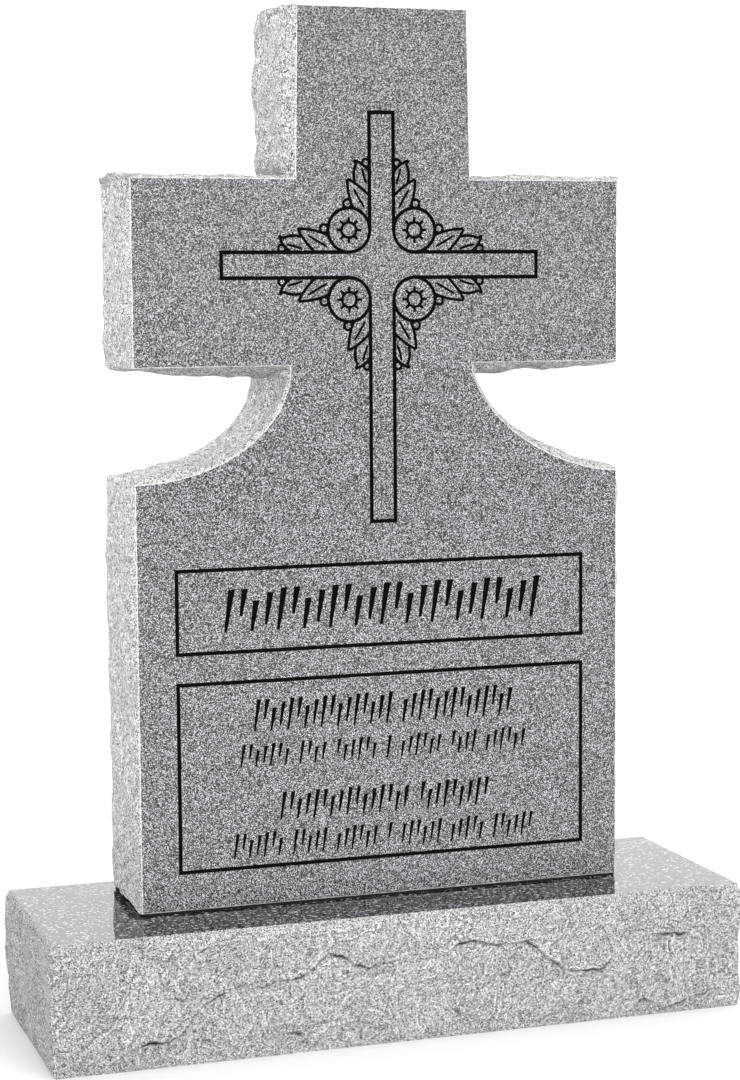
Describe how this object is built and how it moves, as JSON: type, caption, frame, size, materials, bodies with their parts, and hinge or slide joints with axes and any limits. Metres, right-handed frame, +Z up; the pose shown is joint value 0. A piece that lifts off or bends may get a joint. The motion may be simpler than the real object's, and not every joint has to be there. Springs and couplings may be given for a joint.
{
  "type": "cross headstone",
  "caption": "Upright granite cross tablet with rock-pitched sides, an engraved Latin cross, leaf ornament and framed panels, on a pitched granite base.",
  "frame": {"origin": "middle of the base's underside", "axes": "+Z up, +Y from the polished front to the back, +X to the right of someone who faces the front"},
  "size_m": [0.875, 0.302, 1.2251],
  "materials": {
    "tablet_granite": "grey speckled granite, polished front and back, rock-pitched sides, black painted engraving",
    "base_granite": "grey speckled granite, polished top, rock-pitched sides"
  },
  "bodies": {
    "root": {"tablet": "tablet_granite", "base": "base_granite"}
  },
  "joints": []
}
